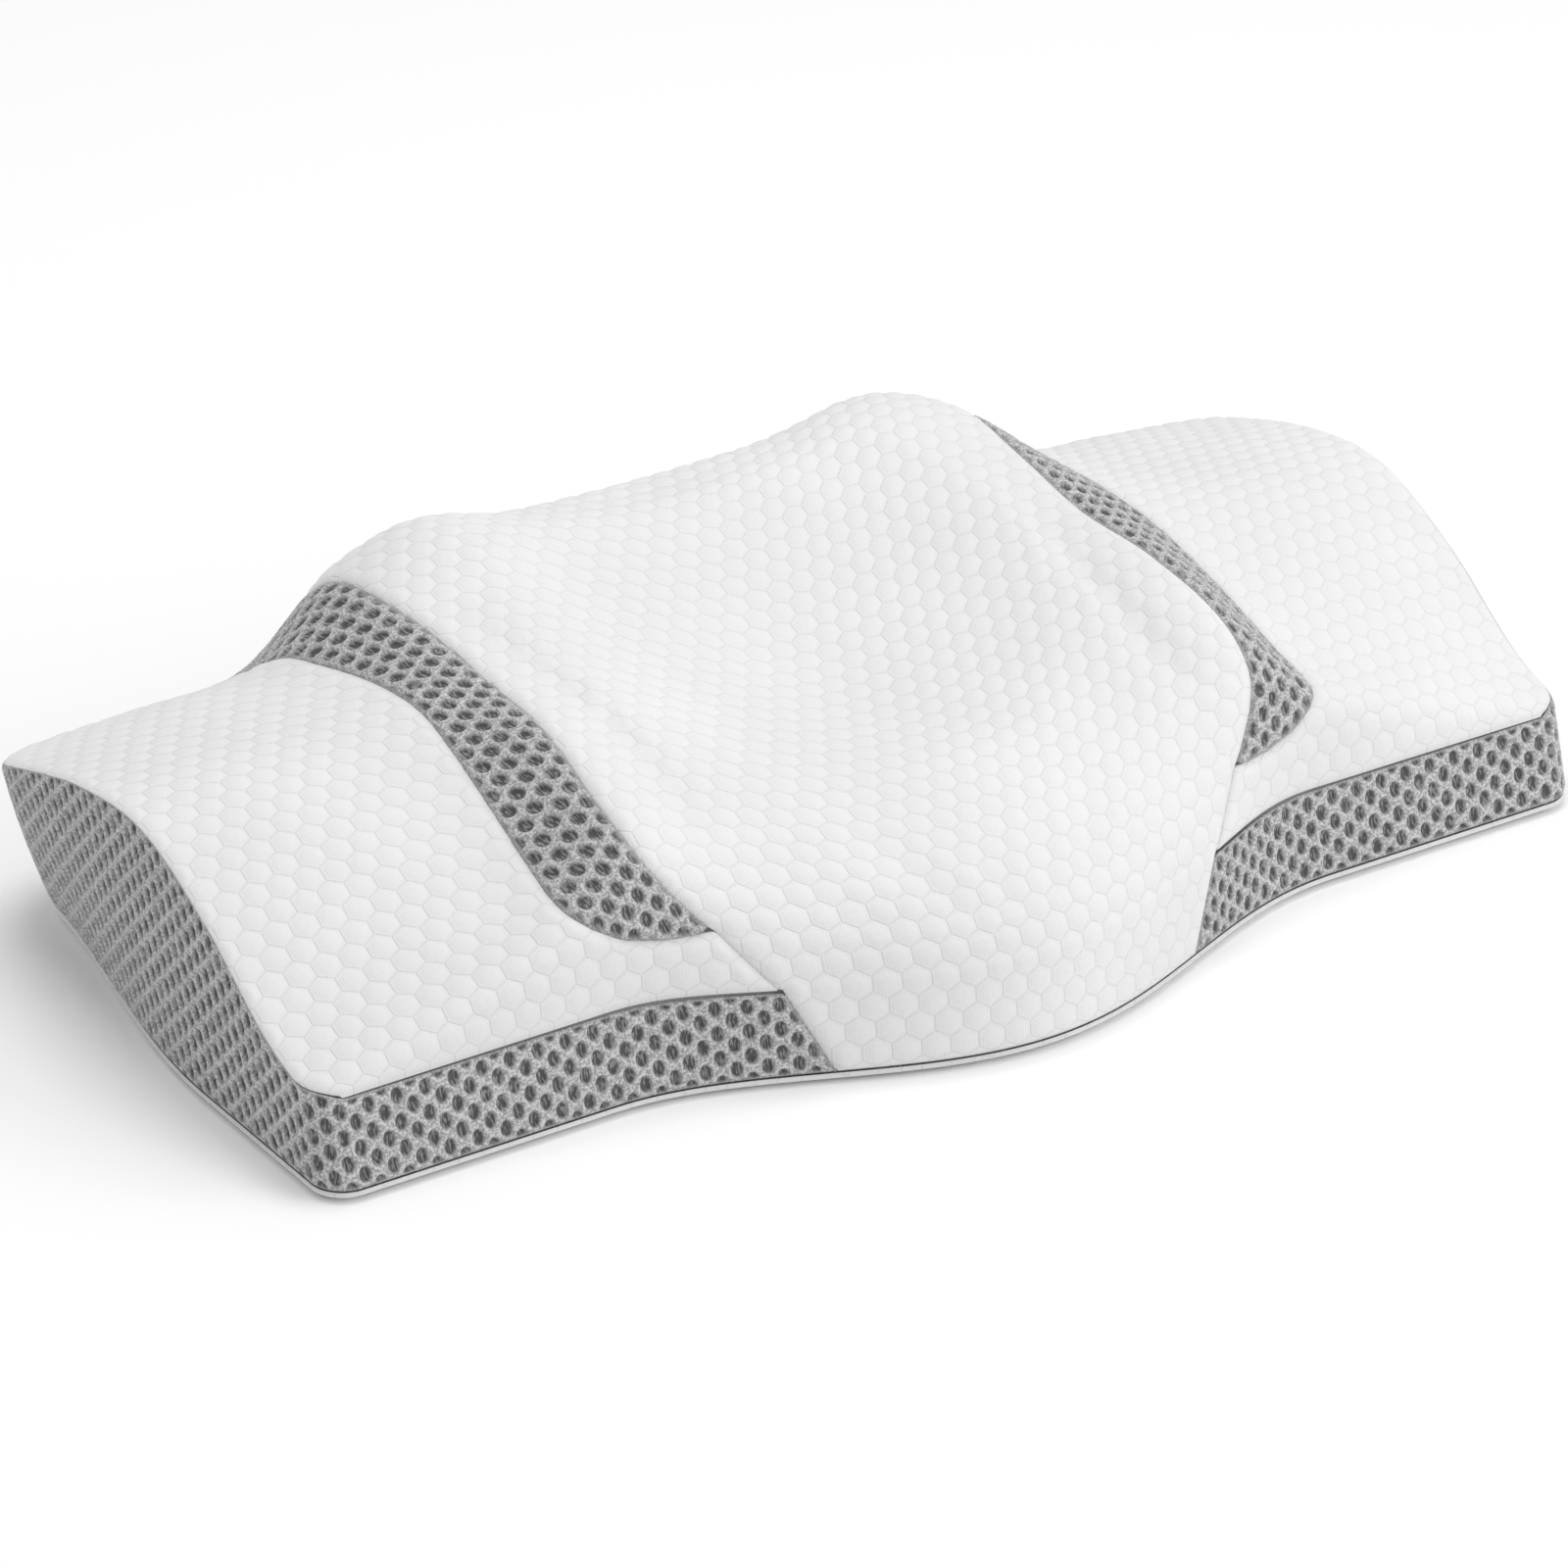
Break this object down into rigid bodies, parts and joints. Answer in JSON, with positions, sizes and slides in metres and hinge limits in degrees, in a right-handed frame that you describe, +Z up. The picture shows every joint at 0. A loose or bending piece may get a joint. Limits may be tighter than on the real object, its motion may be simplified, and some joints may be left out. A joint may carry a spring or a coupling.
{
  "type": "contoured bed pillow",
  "caption": "Contoured foam bed pillow with raised centre, lower wings, quilted knit and mesh cover, and a zip along the back.",
  "frame": {"origin": "middle of the footprint, on the surface that the pillow rests on", "axes": "+X along the pillow, -Y towards the low front edge, +Y towards the zipped back, +Z up"},
  "size_m": [0.6298, 0.3586, 0.1461],
  "materials": {
    "quilted_knit": "matte white hexagon-quilted knit",
    "spacer_mesh": "grey open spacer mesh",
    "liner_jersey": "thin plain jersey",
    "memory_foam": "open-cell foam",
    "zip_tape": "woven tape",
    "zip_coil": "satin nylon",
    "zip_metal": "satin enamelled metal",
    "label_satin": "blank woven satin"
  },
  "bodies": {
    "pillow": {"cover_centre_panel": "quilted_knit", "cover_wing_left": "quilted_knit", "cover_wing_right": "quilted_knit", "bottom_panel": "quilted_knit", "mesh_strip_left": "spacer_mesh", "mesh_strip_right": "spacer_mesh", "side_gusset_left": "spacer_mesh", "side_gusset_right": "spacer_mesh", "back_gusset": "spacer_mesh", "liner_top": "liner_jersey", "liner_bottom": "liner_jersey", "foam_core": "memory_foam", "zip_tape_upper": "zip_tape", "zip_tape_lower": "zip_tape", "zip_coil_upper": "zip_coil", "zip_coil_lower": "zip_coil", "zip_top_stop_upper": "zip_metal", "zip_top_stop_lower": "zip_metal", "zip_bottom_stop": "zip_metal", "care_label": "label_satin"},
    "slider": {"zip_slider": "zip_metal"},
    "pull": {"zip_pull": "zip_metal"}
  },
  "joints": [
    {"name": "zip_slide", "type": "slide", "parent": "pillow", "child": "slider", "axis": [-1, 0, 0], "range_m": [0, 0.4184]},
    {"name": "pull_hinge", "type": "hinge", "parent": "slider", "child": "pull", "pos_m": [0.2092, 0.1779, 0.013], "axis": [0, 0, -1], "range_deg": [0, 180]}
  ]
}
